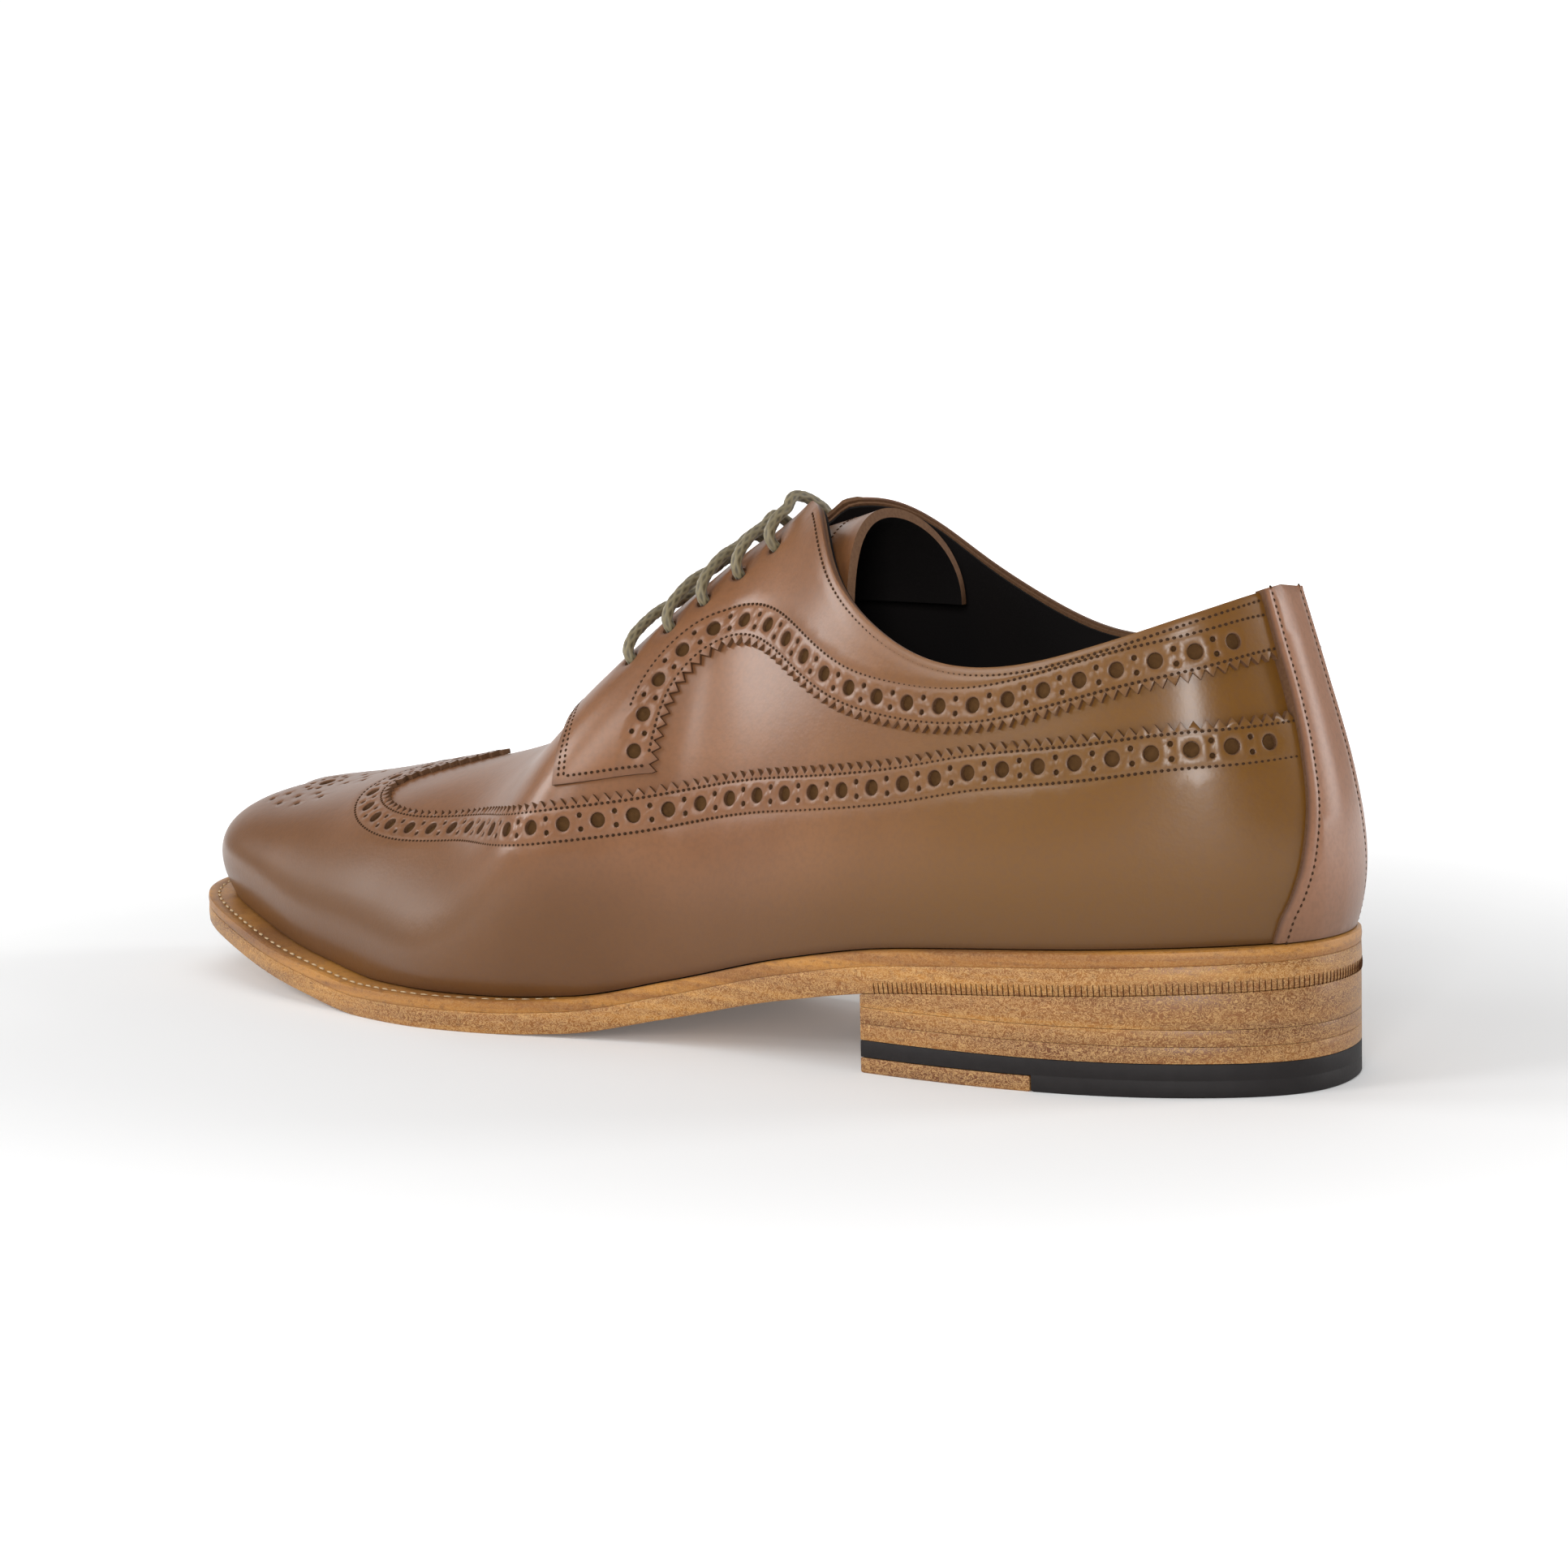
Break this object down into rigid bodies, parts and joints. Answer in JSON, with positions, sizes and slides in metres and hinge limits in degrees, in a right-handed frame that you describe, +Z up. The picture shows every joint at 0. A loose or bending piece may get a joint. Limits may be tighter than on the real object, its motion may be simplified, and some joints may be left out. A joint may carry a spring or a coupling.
{
  "type": "longwing brogue shoe",
  "caption": "Left lace-up derby shoe with a longwing brogue upper, welted leather sole and stacked heel with a rubber top piece, standing empty",
  "frame": {"origin": "middle of the shoe's bounding box, on the floor", "axes": "-X from the heel to the toe, -Y towards the lateral side of this left shoe, +Z up"},
  "size_m": [0.3034, 0.101, 0.1122],
  "materials": {
    "leather": "mid brown waxed calf, slightly creased",
    "welt": "golden tan edge dressed welt",
    "sole": "golden tan edge dressed sole leather",
    "lift": "stacked leather lifts, waxed edge",
    "rubber": "matte dark top piece",
    "insole": "smooth insole with sock lining",
    "lace": "waxed round braid"
  },
  "bodies": {
    "root": {"heel_insert": "lift", "heel_lift_1": "lift", "heel_lift_2": "lift", "heel_lift_3": "lift", "heel_rubber": "rubber", "insole": "insole", "lace_1": "lace", "lace_2": "lace", "lace_3": "lace", "lace_4": "lace", "lace_5": "lace", "outsole": "sole", "tongue": "leather", "upper": "leather", "welt": "welt"}
  },
  "joints": []
}
